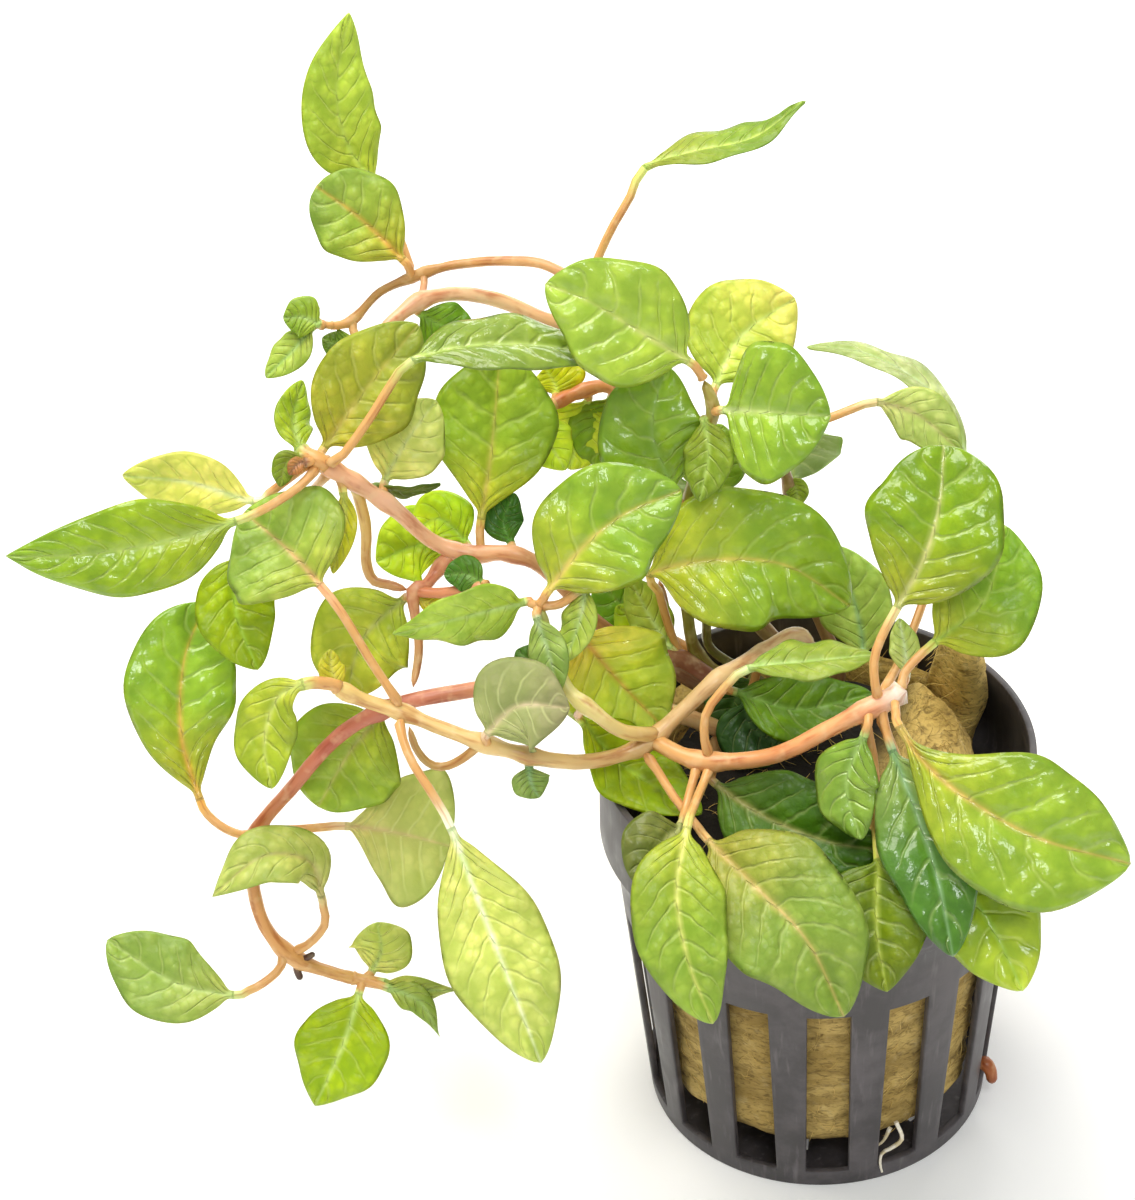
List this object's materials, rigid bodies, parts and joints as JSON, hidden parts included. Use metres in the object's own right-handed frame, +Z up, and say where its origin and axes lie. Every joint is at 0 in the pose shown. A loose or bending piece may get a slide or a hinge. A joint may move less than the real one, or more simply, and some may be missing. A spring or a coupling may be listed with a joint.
{
  "type": "potted super red marsh seedbox",
  "caption": "Leafy aquarium stem plant with arching stems and paired rounded leaves, growing from a rock-wool plug in a small black slotted net pot.",
  "frame": {"origin": "middle of the pot's round base, on the surface it stands on", "axes": "+Z up, -Y towards the camera side of the pot, +X to the right as seen from there"},
  "size_m": [0.1276, 0.0838, 0.1267],
  "materials": {
    "pot": "satin black polypropylene",
    "wool": "damp fibrous rock wool",
    "root": "bare root",
    "stem": "smooth fleshy stem",
    "leaf": "glossy wet leaf",
    "leaf_under": "duller leaf underside"
  },
  "bodies": {
    "root": {"net_pot": "pot", "wool_core": "wool", "wool_wrap": "wool", "root_stub": "root", "stem_front": "stem", "stem_red": "stem", "stem_left": "stem", "stem_trunk": "stem", "stem_middle": "stem", "stem_right": "stem", "stem_front_right": "stem", "stem_front_left": "stem", "stem_hanging": "stem", "stem_top": "stem", "leaf_top_tall": "leaf", "leaf_top_short": "leaf", "leaf_top_right": "leaf", "leaf_top_middle": "leaf", "leaf_top_long": "leaf", "leaf_centre": "leaf", "leaf_olive_upper": "leaf", "leaf_pale_small": "leaf", "leaf_left_pale": "leaf", "leaf_left_far": "leaf", "leaf_left_broad": "leaf", "leaf_left_bright": "leaf", "leaf_left_tall": "leaf", "leaf_behind_red": "leaf", "leaf_olive_low": "leaf", "leaf_light_middle": "leaf", "leaf_purple": "leaf_under", "leaf_left_low": "leaf_under", "leaf_long_hanging": "leaf", "leaf_folded": "leaf", "leaf_low_left": "leaf", "leaf_lowest": "leaf", "leaf_middle_left": "leaf", "leaf_glossy_middle": "leaf", "leaf_dark_upper": "leaf", "leaf_glossy_upper": "leaf", "leaf_pale_top": "leaf", "leaf_right_edge": "leaf", "leaf_right_band": "leaf", "leaf_right_big": "leaf", "leaf_right_behind": "leaf", "leaf_grey_back": "leaf", "leaf_in_pot": "leaf", "leaf_under_front": "leaf", "leaf_narrow_light": "leaf", "leaf_dark_middle": "leaf", "leaf_dark_front": "leaf", "leaf_curled": "leaf", "leaf_dark_hanging": "leaf", "leaf_round_right": "leaf", "leaf_below_round": "leaf", "leaf_olive_front": "leaf", "leaf_front_left": "leaf", "leaf_front_big": "leaf", "leaf_back_right": "leaf", "leaf_back_middle": "leaf"}
  },
  "joints": []
}
